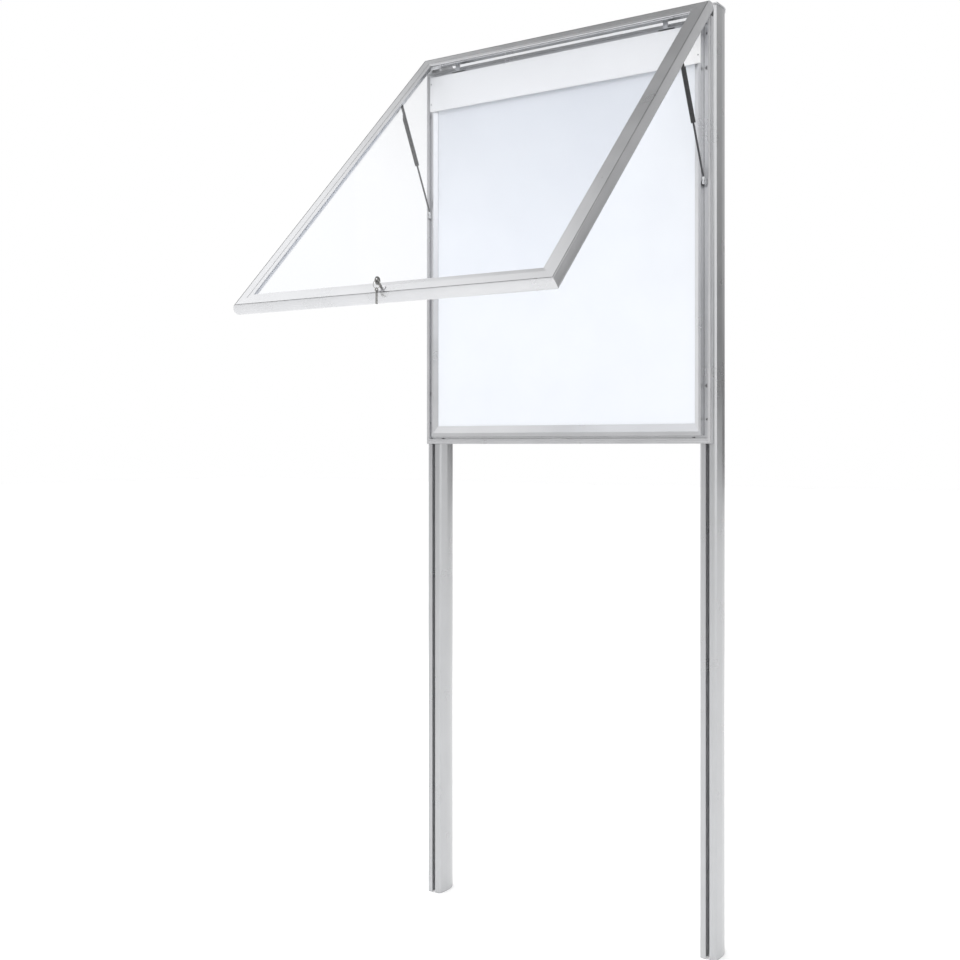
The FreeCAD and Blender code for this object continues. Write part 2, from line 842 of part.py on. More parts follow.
def door_rail_profile():
    """A door rail as (distance in from its edge, depth behind the face): box and flanges.

    A shallow groove parts the flat face from the rounded nose.
    """
    bulge_radius = ("((door_depth - edge_round) * (door_depth - edge_round)"
                    " / (8 * nose_bulge) + nose_bulge / 2)")
    return [
        ("0", "door_depth", bulge_radius),
        ("0", "edge_round", "edge_round"),
        ("edge_round", "0"),
        ("edge_round", "groove_depth"),
        ("(edge_round + groove_width)", "groove_depth"),
        ("(edge_round + groove_width)", "0"),
        ("face_width", "0"),
        ("face_width", "face_thickness"),
        ("box_width", "face_thickness"),
        ("box_width", "flange_front"),
        ("flange_width", "flange_front"),
        ("flange_width", "flange_back"),
        ("box_width", "flange_back"),
        ("box_width", "door_depth"),
    ]


def door_rail_hollow():
    return rectangle("door_wall", "(box_width - door_wall)", "door_wall",
                     "(door_depth - door_wall)")


def bead_profile():
    """The glazing bead that clips over the pane's edge."""
    return [
        ("bead_hook", "(face_thickness + bead_gap)"),
        ("(face_width + bead_gap)", "(face_thickness + bead_gap)"),
        ("(face_width + bead_gap)", "bead_front"),
        ("bead_width", "(bead_front + bead_slope)"),
        ("bead_width", "bead_back"),
        ("bead_hook", "bead_back"),
    ]


def door_strip(name, loops, where, reach):
    """A mitred strip of the door's frame: a rail or a bead, on one of the four sides."""
    body = new_body(name)
    horizontal = where in ("top", "bottom")
    side = 1 if where in ("right", "top") else -1

    def across(x):
        if where == "top":
            return "(%s - %s)" % (DOOR_TOP, x)
        if where == "bottom":
            return "(%s + %s)" % (DOOR_FOOT, x)
        return mirrored(side, "(case_half_width - %s)" % x)

    def spot(corner):
        x, n = corner[0], corner[1]
        pair = (depth(n), across(x)) if horizontal else (across(x), depth(n))
        return pair + tuple(corner[2:])

    outlines = [[spot(corner) for corner in loop] for loop in loops]
    if horizontal:
        pad(body, "YZ_Plane", outlines, "(2 * (case_half_width + mitre_over))", symmetric=True)
    else:
        pad(body, "XY_Plane", outlines, "(door_length + 2 * mitre_over)",
            shift="(%s - mitre_over)" % DOOR_FOOT)
    for end in (-1, 1):
        pocket(body, "XZ_Plane", [door_mitre(where, end, reach)])
    on_door(body)
    return keep(body, name)


def door_mitre(where, end, reach):
    """The waste wedge at one end of a door strip."""
    def corner(side, top, x, z):
        across = mirrored(side, "(case_half_width - %s)" % x)
        height = "(%s - %s)" % (DOOR_TOP, z) if top else "(%s + %s)" % (DOOR_FOOT, z)
        return across, height

    out = "-(mitre_over + 1)"
    past = "(%s + 1)" % reach
    if where in ("top", "bottom"):
        top = where == "top"
        return [corner(end, top, out, out), corner(end, top, out, past),
                corner(end, top, past, past)]
    side = 1 if where == "right" else -1
    top = end > 0
    return [corner(side, top, out, out), corner(side, top, past, out),
            corner(side, top, past, past)]


def make_door_frame():
    for where in ("left", "right", "top", "bottom"):
        rail = door_strip("door_%s_rail" % where, [door_rail_profile(), door_rail_hollow()],
                          where, "flange_width")
        if where == "bottom":
            pocket(rail, "XZ_Plane", [], circles=[("0", LOCK_Z, "(lock_radius + lock_play)")])
        door_strip("glazing_bead_%s" % where, [bead_profile()], where, "bead_width")


def make_door_cleats():
    """An angle inside each corner of the door's box rails."""
    pieces = []
    for side in (-1, 1):
        for top in (False, True):
            near = "(door_wall + cleat_play)"
            bend = "(box_width - door_wall - cleat_play)"
            far = "(box_width + cleat_leg)"
            steps = [(near, near), (near, far), (bend, far), (bend, bend), (far, bend),
                     (far, near)]
            corners = []
            for x, z in steps:
                height = "(%s - %s)" % (DOOR_TOP, z) if top else "(%s + %s)" % (DOOR_FOOT, z)
                corners.append((mirrored(side, "(case_half_width - %s)" % x), height))
            body = new_body("door_cleat")
            pad(body, "XZ_Plane", [corners], "(door_depth - 2 * door_wall - 2 * cleat_play)",
                shift="-(%s)" % depth("(door_depth - door_wall - cleat_play)"))
            pieces.append(on_door(body))
    gather("door_corner_cleats", pieces)


def door_rectangle(inset):
    half = "(case_half_width - %s)" % inset
    return rectangle(minus(half), half, "(%s + %s)" % (DOOR_FOOT, inset),
                     "(%s - %s)" % (DOOR_TOP, inset))


def make_pane():
    body = new_body("door_pane")
    pad(body, "XZ_Plane", [door_rectangle("pane_inset")], "pane_thickness",
        shift="-(%s)" % depth("(pane_front + pane_thickness)"))
    on_door(body)
    keep(body, "door_pane")


def make_glazing_gasket():
    body = new_body("glazing_gasket")
    pad(body, "XZ_Plane", [door_rectangle("gasket_outer"), door_rectangle("gasket_inner")],
        "(flange_front - pane_front - pane_thickness)", shift="-(%s)" % depth("flange_front"))
    on_door(body)
    keep(body, "glazing_gasket")


# ---------------------------------------------------------------- hinges

RIM_UNDERSIDE = "(case_height - rim_end)"
HINGE_IN_CASE = "(post_length - case_bottom - hinge_drop)"


def make_hinges():
    case_leaves = []
    door_leaves = []
    pins = []
    case_screws = []
    for side in (-1, 1):
        middle = mirrored(side, "hinge_spread")
        case_leaves.append(make_case_leaf(middle))
        door_leaves += make_door_leaves(middle)
        pin = new_body("hinge_pin")
        pad(pin, "YZ_Plane", [], "(2 * hinge_half_length)", circles=[("0", "0", "hinge_pin_radius")],
            symmetric=True)
        pins.append(put(pin, x=middle, y=HINGE_Y, z=HINGE_Z))
        for end in (-1, 1):
            x = "(%s + %s)" % (middle, mirrored(end, "hinge_screw_offset"))
            screw = turned_screw("case_leaf_screw", "screw_shank_radius", "screw_head_radius",
                                 "screw_head_height", "(leaf_thickness + case_wall + 3)")
            case_screws.append(put(screw, x=x, y="-(case_depth / 2)",
                                   z="(case_bottom + %s - leaf_thickness)" % RIM_UNDERSIDE,
                                   angle="180"))
    gather("hinge_case_leaves", case_leaves)
    gather("hinge_door_leaves", door_leaves)
    gather("hinge_pins", pins)
    gather("hinge_case_screws", case_screws)


def make_case_leaf(middle):
    """A plate under the top rim, a narrow web in front of it and the middle of the barrel."""
    body = new_body("case_leaf")
    web_back = "(%s + barrel_radius)" % HINGE_Y
    web_front = "(%s - leaf_thickness)" % web_back
    under = "(%s - leaf_thickness)" % RIM_UNDERSIDE
    plate = rectangle(web_front, "-(back_thickness + hinge_plate_gap)", under, RIM_UNDERSIDE)
    pad(body, "YZ_Plane", [plate], "(2 * hinge_half_length)", symmetric=True)
    tongue = rectangle(web_front, web_back, under, HINGE_IN_CASE)
    pad(body, "YZ_Plane", [tongue], "(2 * hinge_middle)", symmetric=True)
    pad(body, "YZ_Plane", [], "(2 * hinge_middle)", symmetric=True,
        circles=[(HINGE_Y, HINGE_IN_CASE, "barrel_radius")])
    pocket(body, "YZ_Plane", [],
           circles=[(HINGE_Y, HINGE_IN_CASE, "(hinge_pin_radius + hinge_pin_play)")])
    pocket(body, "XY_Plane", [],
           circles=[(mirrored(end, "hinge_screw_offset"), "-(case_depth / 2)",
                     "screw_shank_radius") for end in (-1, 1)])
    return put(body, x=middle, z="case_bottom")


def make_door_leaves(middle):
    """The two outer parts of a hinge's barrel, on a plate behind the door's top rail."""
    pieces = []
    plate_front = depth("flange_back")
    plate_back = "(%s + leaf_thickness)" % plate_front
    plate_top = "(hinge_drop - box_width)"
    plate_foot = "(barrel_radius + leaf_clearance)"
    half = "((hinge_half_length - hinge_middle - hinge_end_gap) / 2)"
    for end in (-1, 1):
        body = new_body("door_leaf")
        plate = [
            (plate_front, plate_foot), (plate_back, plate_foot),
            (plate_back, "(%s - leaf_thickness)" % plate_top),
            ("barrel_radius", "(%s - leaf_thickness)" % plate_top),
            ("barrel_radius", plate_top), (plate_front, plate_top),
        ]
        pad(body, "YZ_Plane", [plate], "(2 * %s)" % half, symmetric=True)
        tongue = rectangle("(%s - tongue_sink)" % plate_back, "(%s + tongue_rise)" % plate_back,
                           "0", "(barrel_radius + tongue_over)")
        pad(body, "YZ_Plane", [tongue], "(2 * %s)" % half, symmetric=True)
        pad(body, "YZ_Plane", [], "(2 * %s)" % half, symmetric=True,
            circles=[("0", "0", "barrel_radius")])
        pocket(body, "YZ_Plane", [], circles=[("0", "0", "(hinge_pin_radius + hinge_pin_play)")])
        shift = mirrored(end, "(hinge_middle + hinge_end_gap + %s)" % half)
        pieces.append(put(body, x="(%s + %s)" % (middle, shift), y=HINGE_Y, z=HINGE_Z,
                          angle="-door_open"))
    return pieces


# ---------------------------------------------------------------- gas struts

def make_strut_bracket(name, side):
    """An angle on the case's back with the pin that the strut's rod turns on."""
    body = new_body(name)
    outer = "(case_half_width - rim_side - bracket_gap)"
    web = "(case_half_width - rim_side - bracket_gap - bracket_thickness)"
    corners = [
        ("(strut_side - eye_width)", "-back_thickness"),
        (outer, "-back_thickness"),
        (outer, "-(strut_case_depth + bracket_over)"),
        (web, "-(strut_case_depth + bracket_over)"),
        (web, "-(back_thickness + bracket_thickness)"),
        ("(strut_side - eye_width)", "-(back_thickness + bracket_thickness)"),
    ]
    plate = [(mirrored(side, x), y) for x, y in corners]
    pad(body, "XY_Plane", [plate], "(2 * bracket_half_height)", shift="-bracket_half_height")
    spot = ("-strut_case_depth", "0")
    pin_end = "(%s + bracket_thickness / 4)" % web
    pad(body, "YZ_Plane", [], "(%s - pin_start)" % pin_end, circles=[(*spot, "eye_pin_radius")],
        shift="pin_start" if side > 0 else minus(pin_end))
    head_end = "(pin_start + pin_head_thickness)"
    pad(body, "YZ_Plane", [], "pin_head_thickness",
        circles=[(*spot, "(eye_pin_radius + pin_head_rise)")],
        shift="pin_start" if side > 0 else minus(head_end))
    put(body, z=STRUT_FOOT_Z)
    keep(body, name)


def make_rod_eye(name, side):
    """The chrome end fitting that turns on the case's pin."""
    body = new_body(name)
    middle = mirrored(side, "strut_side")
    pad(body, "YZ_Plane", [], "eye_width", shift="(%s - eye_width / 2)" % middle,
        circles=[("0", "0", "eye_radius")])
    pad(body, "XY_Plane", [], "(eye_radius + eye_shank)", shift="(eye_radius - eye_sink)",
        circles=[(middle, "0", "(rod_radius + 1)")])
    pocket(body, "YZ_Plane", [], circles=[("0", "0", "(eye_pin_radius + eye_play)")])
    on_strut(body)
    keep(body, name)


def make_rod(name, side):
    body = new_body(name)
    foot = "(2 * eye_radius + eye_shank - eye_sink)"
    corners = [
        ("0", foot), ("rod_radius", foot), ("rod_radius", "(rod_length - piston_length)"),
        ("(tube_bore - rod_play)", "(rod_length - piston_length)"),
        ("(tube_bore - rod_play)", "rod_length"), ("0", "rod_length"),
    ]
    revolve(body, corners)
    on_strut(body, x=mirrored(side, "strut_side"))
    keep(body, name)


def make_tube(name, side):
    """The strut's black cylinder, hollow, with a guide that the rod runs through."""
    body = new_body(name)
    bore = "(rod_radius + rod_play)"
    end = "(%s - tube_end)" % TUBE_TOP
    corners = [
        (bore, TUBE_FOOT), ("tube_radius", TUBE_FOOT), ("tube_radius", TUBE_TOP),
        ("0", TUBE_TOP), ("0", end), ("tube_bore", end),
        ("tube_bore", "(%s + tube_guide)" % TUBE_FOOT), (bore, "(%s + tube_guide)" % TUBE_FOOT),
    ]
    revolve(body, corners)
    on_strut(body, x=mirrored(side, "strut_side"))
    keep(body, name)


def make_tube_blade(name, side):
    """The flat end of the cylinder, with its eye beside the door's stud."""
    body = new_body(name)
    shift = "blade_side" if side > 0 else "-(blade_side + blade_thickness)"
    outline = [
        (minus("blade_half_width"), "(%s + 1)" % TUBE_TOP),
        ("blade_half_width", "(%s + 1)" % TUBE_TOP),
        ("blade_half_width", STRUT_LENGTH, "(blade_half_width + 0.001)"),
        (minus("blade_half_width"), STRUT_LENGTH),
    ]
    pad(body, "YZ_Plane", [outline], "blade_thickness", shift=shift,
        circles=[("0", STRUT_LENGTH, "blade_hole_radius")])
    pad(body, "XY_Plane", [], "blade_socket", shift=TUBE_TOP,
        circles=[(mirrored(side, "strut_side"), "0", "blade_socket_radius")])
    on_strut(body)
    keep(body, name)


def make_door_stud(name, side):
    """The stud on the door's side rail, which ends beside the strut's eye."""
    body = new_body(name)
    tip = "(blade_side + blade_thickness + stud_gap)"
    wall = "(case_half_width - box_width)"
    spot = (DOOR_PIVOT_Y, "-strut_door_drop")
    shift = tip if side > 0 else "(-%s)" % wall
    pad(body, "YZ_Plane", [], "(%s - %s)" % (wall, tip), shift=shift,
        circles=[(*spot, "stud_radius")])
    base_shift = "(%s - stud_base_thickness)" % wall if side > 0 else "(-%s)" % wall
    pad(body, "YZ_Plane", [], "stud_base_thickness", shift=base_shift,
        circles=[(*spot, "(stud_radius + stud_base_rise)")])
    on_door(body)
    keep(body, name)


# ---------------------------------------------------------------- lock and keys

def depth_shift(n):
    """Sketch shift on the XZ plane, whose normal points out of the door's face."""
    return "-(%s)" % depth(n)


def make_lock():
    make_lock_housing()
    make_lock_clip()
    make_lock_plug()
    make_lock_cam()
    make_cam_screw()


def make_lock_housing():
    body = new_body("lock_housing")
    bore = ("0", LOCK_Z, "(plug_radius + plug_play)")
    pad(body, "XZ_Plane", [], "lock_depth", shift=depth_shift("lock_depth"),
        circles=[("0", LOCK_Z, "lock_radius"), bore])
    pad(body, "XZ_Plane", [], "lock_flange_thickness", shift=depth_shift("0"),
        circles=[("0", LOCK_Z, "lock_flange_radius"), bore])
    on_door(body)
    keep(body, "lock_housing")


def make_lock_clip():
    """The spring plate that holds the housing behind the rail's flange."""
    body = new_body("lock_clip")
    outline = rectangle("-clip_half_length", "clip_half_length",
                        "(%s + box_width + clip_gap)" % DOOR_FOOT,
                        "(%s + flange_width - clip_lip)" % DOOR_FOOT)
    pad(body, "XZ_Plane", [outline], "clip_thickness",
        shift=depth_shift("(flange_back + clip_thickness + lock_play)"))
    pocket(body, "XZ_Plane", [], circles=[("0", LOCK_Z, "(lock_radius + lock_play)")])
    on_door(body)
    keep(body, "lock_clip")


def make_lock_plug():
    """The barrel that turns, with a tail and a spigot for the cam, and a keyway in front."""
    body = new_body("lock_plug")
    pad(body, "XZ_Plane", [], "(lock_depth + plug_face)", shift=depth_shift("lock_depth"),
        circles=[("0", LOCK_Z, "plug_radius")])
    pad(body, "XZ_Plane", [], "(cam_front - lock_depth)", shift=depth_shift("cam_front"),
        circles=[("0", LOCK_Z, "tail_radius")])
    pad(body, "XZ_Plane", [], "cam_thickness", shift=depth_shift("(cam_front + cam_thickness)"),
        circles=[("0", LOCK_Z, "spigot_radius")])
    pocket(body, "XZ_Plane", [], depth="cam_screw_hole",
           shift=depth_shift("(cam_front - cam_screw_hole_front)"),
           circles=[("0", LOCK_Z, "cam_screw_radius")])
    half = "(key_thickness / 2 + key_play)"
    rise = "(key_blade_half + key_play)"
    keyway = rectangle(minus(half), half, "(%s - %s)" % (LOCK_Z, rise), "(%s + %s)" % (LOCK_Z, rise))
    pocket(body, "XZ_Plane", [keyway], depth="keyway_depth", shift=depth_shift("-plug_face"))
    on_door(body)
    keep(body, "lock_plug")


def make_lock_cam():
    body = new_body("lock_cam")
    bar = rectangle("0", "cam_length", "(%s - cam_half_width)" % LOCK_Z,
                    "(%s + cam_half_width)" % LOCK_Z)
    back = depth_shift("(cam_front + cam_thickness)")
    pad(body, "XZ_Plane", [bar], "cam_thickness", shift=back)
    pad(body, "XZ_Plane", [], "cam_thickness", shift=back,
        circles=[("0", LOCK_Z, "(cam_half_width + cam_hub_rise)")])
    pocket(body, "XZ_Plane", [], circles=[("0", LOCK_Z, "(spigot_radius + plug_play)")])
    on_door(body)
    keep(body, "lock_cam")


def make_cam_screw():
    body = new_body("cam_screw")
    pad(body, "XZ_Plane", [], "cam_screw_height",
        shift=depth_shift("(cam_front + cam_thickness + cam_screw_height)"),
        circles=[("0", LOCK_Z, "cam_screw_head")])
    pad(body, "XZ_Plane", [], "(cam_thickness + cam_screw_reach)",
        shift=depth_shift("(cam_front + cam_thickness)"),
        circles=[("0", LOCK_Z, "cam_screw_radius")])
    on_door(body)
    keep(body, "cam_screw")


def make_key():
    """The key in the lock: a blade in the keyway and a round bow outside."""
    body = new_body("lock_key")

    def flat(inner, outer, half):
        return rectangle(inner, outer, "(%s - %s)" % (LOCK_Z, half), "(%s + %s)" % (LOCK_Z, half))

    blade = flat(depth("key_tip_depth"), depth("(-key_shoulder_out)"), "key_blade_half")
    pad(body, "YZ_Plane", [blade], "key_thickness", symmetric=True)
    pad(body, "YZ_Plane", [], "key_thickness", symmetric=True,
        circles=[(depth("(-key_bow_out)"), LOCK_Z, "key_bow_radius")])
    neck = flat(depth("(-key_neck_back)"), depth("(-key_neck_out)"), "key_neck_half")
    pad(body, "YZ_Plane", [neck], "key_thickness", symmetric=True)
    pocket(body, "YZ_Plane", [], circles=[(HOLE_LOCAL_Y, LOCK_Z, "key_hole_radius")])
    on_door(body)
    keep(body, "lock_key")


# Where the ring's wire passes through the bow of the key, with the door open.
HOLE_LOCAL_Y = depth("(-key_hole_out)")
WIRE_Y = "(%s + %s * cos(door_open) + %s * sin(door_open))" % (HINGE_Y, HOLE_LOCAL_Y, LOCK_Z)
WIRE_Z = ("(%s - %s * sin(door_open) + %s * cos(door_open) - ring_hang)"
          % (HINGE_Z, HOLE_LOCAL_Y, LOCK_Z))


def make_key_ring():
    """A wire ring that hangs in the key's bow, with a spare key on it."""
    ring = doc.addObject("Part::Torus", "key_ring")
    bind(ring, "Radius1", "ring_radius")
    bind(ring, "Radius2", "ring_wire")
    put(ring, y=WIRE_Y, z="(%s - ring_radius)" % WIRE_Z, angle="90")
    keep(ring, "key_ring")

    spare = new_body("spare_key")
    hole = "(-2 * ring_radius)"
    pad(spare, "YZ_Plane", [], "key_thickness", symmetric=True,
        circles=[("0", "(%s - spare_bow_drop)" % hole, "spare_bow_radius")])
    blade = rectangle("-key_blade_half", "key_blade_half",
                      "(%s - spare_length)" % hole, "(%s - spare_neck)" % hole)
    pad(spare, "YZ_Plane", [blade], "key_thickness", symmetric=True)
    pocket(spare, "YZ_Plane", [],
           circles=[("0", "(%s - ring_hang)" % hole, "key_hole_radius")])
    put(spare, y=WIRE_Y, z=WIRE_Z)
    keep(spare, "spare_key")


# ---------------------------------------------------------------- build

for label, sign in SIDES:
    make_post("post_" + label, sign)
    make_post_cap("post_cap_" + label, sign)
    make_post_foot("post_foot_" + label, sign)
    make_case_rail_side("case_rail_" + label, sign)
    make_frame_rail_side("poster_frame_" + label, sign)
    make_strut_bracket("strut_bracket_" + label, sign)
    make_rod_eye("strut_eye_" + label, sign)
    make_rod("strut_rod_" + label, sign)
    make_tube("strut_tube_" + label, sign)
    make_tube_blade("strut_blade_" + label, sign)
    make_door_stud("door_stud_" + label, sign)
make_case_rail_end("case_rail_bottom", False)
make_case_rail_end("case_rail_top", True)
make_case_cleats()
make_back_sheet()
make_case_seal()
make_strike_plate()
make_drain_plugs()
make_case_bolts()
make_frame_rail_end("poster_frame_bottom", False)
make_frame_rail_end("poster_frame_top", True)
make_poster_board()
make_header_panel()
make_header_screws()
make_door_frame()
make_door_cleats()
make_pane()
make_glazing_gasket()
make_hinges()
make_lock()
make_key()
make_key_ring()
doc.recompute()

# ---------------------------------------------------------------- checks and export

faults = []
for thing in doc.Objects:
    states = [state for state in thing.State if state in ("Invalid", "Error")]
    if states:
        faults.append("%s is %s" % (thing.Label, states))
for thing in parts:
    if thing.Shape.isNull() or not thing.Shape.isValid() or not thing.Shape.Solids:
        faults.append("%s has no valid solid" % thing.Label)
if faults:
    raise RuntimeError("; ".join(faults))

os.makedirs("parts", exist_ok=True)
for thing in parts:
    thing.Shape.exportStep("parts/%s.step" % thing.Label)
print("sub-parts:", len(parts))
print("strut length %.2f mm, angle %.2f deg" % (value(STRUT_LENGTH), value(STRUT_ANGLE)))
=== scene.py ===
import math
import bpy
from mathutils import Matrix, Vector

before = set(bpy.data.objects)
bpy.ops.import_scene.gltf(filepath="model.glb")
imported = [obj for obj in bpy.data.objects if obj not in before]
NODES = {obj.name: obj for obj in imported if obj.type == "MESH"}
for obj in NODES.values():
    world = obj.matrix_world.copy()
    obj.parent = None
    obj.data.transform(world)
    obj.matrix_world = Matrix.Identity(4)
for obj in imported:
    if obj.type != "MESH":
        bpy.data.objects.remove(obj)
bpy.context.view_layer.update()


# ---------------------------------------------------------------- node helpers

# Nearly all of a noise texture's values lie between these two.
NOISE_LOW, NOISE_HIGH = 0.3, 0.7

# The dot product of the rounded and the true normal, on a sharp edge and on a flat face.
EDGE_SAMPLES = 4
EDGE_SHARP, EDGE_FLAT = 0.75, 0.98

# The share of open sky that counts as deep in a gap and as in the open, and the most that
# painted shade darkens a gap.
CREVICE_SAMPLES = 6
CREVICE_DEEP, CREVICE_OPEN = 0.35, 0.8
CREVICE_MOST = 0.85

EVEN = (1, 1, 1)

def new_material(name):
    """A material with a Principled shader, as (material, its nodes, its links, the shader)."""
    material = bpy.data.materials.new(name)
    material.use_nodes = True
    nodes = material.node_tree.nodes
    return material, nodes, material.node_tree.links, nodes["Principled BSDF"]


def place(nodes, links, stretch, turn=0.0):
    """Object coordinates, turned about X by an angle in degrees, then stretched."""
    coords = nodes.new("ShaderNodeTexCoord")
    rotate = nodes.new("ShaderNodeMapping")
    rotate.inputs["Rotation"].default_value = (math.radians(turn), 0, 0)
    scale = nodes.new("ShaderNodeMapping")
    scale.inputs["Scale"].default_value = stretch
    links.new(coords.outputs["Object"], rotate.inputs["Vector"])
    links.new(rotate.outputs["Vector"], scale.inputs["Vector"])
    return scale.outputs["Vector"]


def noise(nodes, links, vector, size, detail=4.0):
    """A noise texture's value. The size is the number of features in a metre."""
    texture = nodes.new("ShaderNodeTexNoise")
    texture.inputs["Scale"].default_value = size
    texture.inputs["Detail"].default_value = detail
    links.new(vector, texture.inputs["Vector"])
    return texture.outputs["Fac"]


def spread(nodes, links, value, low, high, start=NOISE_LOW, finish=NOISE_HIGH):
    """Maps a value between start and finish onto low to high."""
    step = nodes.new("ShaderNodeMapRange")
    step.inputs["From Min"].default_value = start
    step.inputs["From Max"].default_value = finish
    step.inputs["To Min"].default_value = low
    step.inputs["To Max"].default_value = high
    links.new(value, step.inputs["Value"])
    return step.outputs["Result"]


def two_tone(nodes, links, value, dark, light):
    """A colour that runs from dark to light with a value."""
    ramp = nodes.new("ShaderNodeValToRGB")
    ramp.color_ramp.elements[0].position = NOISE_LOW
    ramp.color_ramp.elements[0].color = (*dark, 1)
    ramp.color_ramp.elements[1].position = NOISE_HIGH
    ramp.color_ramp.elements[1].color = (*light, 1)
    links.new(value, ramp.inputs["Fac"])
    return ramp.outputs["Color"]


def edge_mask(nodes, links, width):
    """One on sharp edges and zero on flat faces."""
    rounded = nodes.new("ShaderNodeBevel")
    rounded.samples = EDGE_SAMPLES
    rounded.inputs["Radius"].default_value = width
    flat = nodes.new("ShaderNodeNewGeometry")
    dot = nodes.new("ShaderNodeVectorMath")
    dot.operation = "DOT_PRODUCT"
    links.new(rounded.outputs["Normal"], dot.inputs[0])
    links.new(flat.outputs["Normal"], dot.inputs[1])
    return spread(nodes, links, dot.outputs["Value"], 1.0, 0.0, EDGE_SHARP, EDGE_FLAT)


def crevice_shade_mask(nodes, links, reach):
    """A mask for painted shade: CREVICE_MOST deep in narrow gaps and grooves, and zero in the
    open.
    """
    open_sky = nodes.new("ShaderNodeAmbientOcclusion")
    open_sky.samples = CREVICE_SAMPLES
    open_sky.inputs["Distance"].default_value = reach
    return spread(nodes, links, open_sky.outputs["AO"], CREVICE_MOST, 0.0,
                  CREVICE_DEEP, CREVICE_OPEN)


def blend_colours(nodes, links, mask, first, second):
    """The first colour, an output, going over to the second, a fixed one, as the mask rises."""
    mix = nodes.new("ShaderNodeMix")
    mix.data_type = "RGBA"
    links.new(mask, mix.inputs["Factor"])
    links.new(first, mix.inputs["A"])
    mix.inputs["B"].default_value = (*second, 1)
    return mix.outputs["Result"]


def add_bump(nodes, links, shader, value, height, strength):
    """Lets a value raise the surface by a height in metres, in shading only."""
    bump = nodes.new("ShaderNodeBump")
    bump.inputs["Distance"].default_value = height
    bump.inputs["Strength"].default_value = strength
    links.new(value, bump.inputs["Height"])
    links.new(bump.outputs["Normal"], shader.inputs["Normal"])


# ---------------------------------------------------------------- materials

# Features in a metre, for the noise textures.
LINES, CLOUDS, GRAIN = 900, 9, 1500
PLATE_SPECKLE, FINE_SPECKLE = 400, 700
PATCHES, SMEARS = 6, 5

# How much of the metal's mottling comes from its drawn lines, and the shade painted into its
# grooves.
LINE_SHARE = 0.25
GROOVE_SHADE = (0.09, 0.09, 0.095)
GROOVE_REACH = 0.004
ANODISED_METALLIC = 0.9

# The width of a lightened edge, in metres: partly wear and partly a painted highlight.
EXTRUDED_EDGE = 0.0006
PLATED_EDGE = 0.0004

# Bumps, as a height in metres and a strength.
EXTRUDED_BUMP = (0.00005, 0.02)
PLATED_BUMP = (0.0001, 0.1)
COATED_BUMP_HEIGHT = 0.0002

# The pane's tint and roughness, and its gloss seen straight on and edge on.
PANE_TINT = (0.97, 0.975, 0.985, 1)
PANE_ROUGHNESS = (0.01, 0.05)
PANE_GLOSS = (0.02, 0.7)
FACING_BLEND = 0.5
GRAZING_POWER = 5.0


def extruded_metal(name, dark, light, wear_and_highlight, stretch, turn=0.0, roughness=(0.27, 0.30)):
    """Satin anodised aluminium: drawn lines along the bar, cloudy sheen, edges lightened for
    wear and a painted highlight, and painted shade in its grooves.
    """
    material, nodes, links, shader = new_material(name)
    lines = noise(nodes, links, place(nodes, links, stretch, turn), LINES, 1)
    clouds = noise(nodes, links, place(nodes, links, EVEN, turn), CLOUDS, 2)
    grain = noise(nodes, links, place(nodes, links, EVEN), GRAIN, 2)
    shade = nodes.new("ShaderNodeMath")
    shade.operation = "MULTIPLY_ADD"
    shade.inputs[1].default_value = LINE_SHARE
    links.new(lines, shade.inputs[0])
    links.new(spread(nodes, links, clouds, 0.0, 1.0 - LINE_SHARE, 0.0, 1.0), shade.inputs[2])
    colour = two_tone(nodes, links, shade.outputs["Value"], dark, light)
    # Edges lightened: partly wear, partly a painted highlight.
    edges = edge_mask(nodes, links, EXTRUDED_EDGE)
    colour = blend_colours(nodes, links, edges, colour, wear_and_highlight)
    # Painted shade: narrow grooves and gaps between parts darkened towards near black.
    crevice_shade = crevice_shade_mask(nodes, links, GROOVE_REACH)
    colour = blend_colours(nodes, links, crevice_shade, colour, GROOVE_SHADE)
    links.new(colour, shader.inputs["Base Color"])
    links.new(spread(nodes, links, clouds, *roughness), shader.inputs["Roughness"])
    shader.inputs["Metallic"].default_value = ANODISED_METALLIC
    add_bump(nodes, links, shader, grain, *EXTRUDED_BUMP)
    return material


def plated_steel(name, dark, light, wear_and_highlight, roughness, speckle=PLATE_SPECKLE):
    """Zinc or nickel plate, with fine mottling and brighter edges, partly wear and partly a
    painted highlight.
    """
    material, nodes, links, shader = new_material(name)
    spots = noise(nodes, links, place(nodes, links, EVEN), speckle, 6)
    colour = two_tone(nodes, links, spots, dark, light)
    # Edges lightened: partly wear, partly a painted highlight.
    edges = edge_mask(nodes, links, PLATED_EDGE)
    colour = blend_colours(nodes, links, edges, colour, wear_and_highlight)
    links.new(colour, shader.inputs["Base Color"])
    links.new(spread(nodes, links, spots, *roughness), shader.inputs["Roughness"])
    shader.inputs["Metallic"].default_value = 1.0
    add_bump(nodes, links, shader, spots, *PLATED_BUMP)
    return material


def coated(name, dark, light, roughness, grain, bump):
    """Paint, plastic or rubber: fine grain, patchy gloss."""
    material, nodes, links, shader = new_material(name)
    fine = noise(nodes, links, place(nodes, links, EVEN), grain, 6)
    patches = noise(nodes, links, place(nodes, links, EVEN), PATCHES, 3)
    links.new(two_tone(nodes, links, patches, dark, light), shader.inputs["Base Color"])
    links.new(spread(nodes, links, fine, *roughness), shader.inputs["Roughness"])
    add_bump(nodes, links, shader, fine, COATED_BUMP_HEIGHT, bump)
    return material


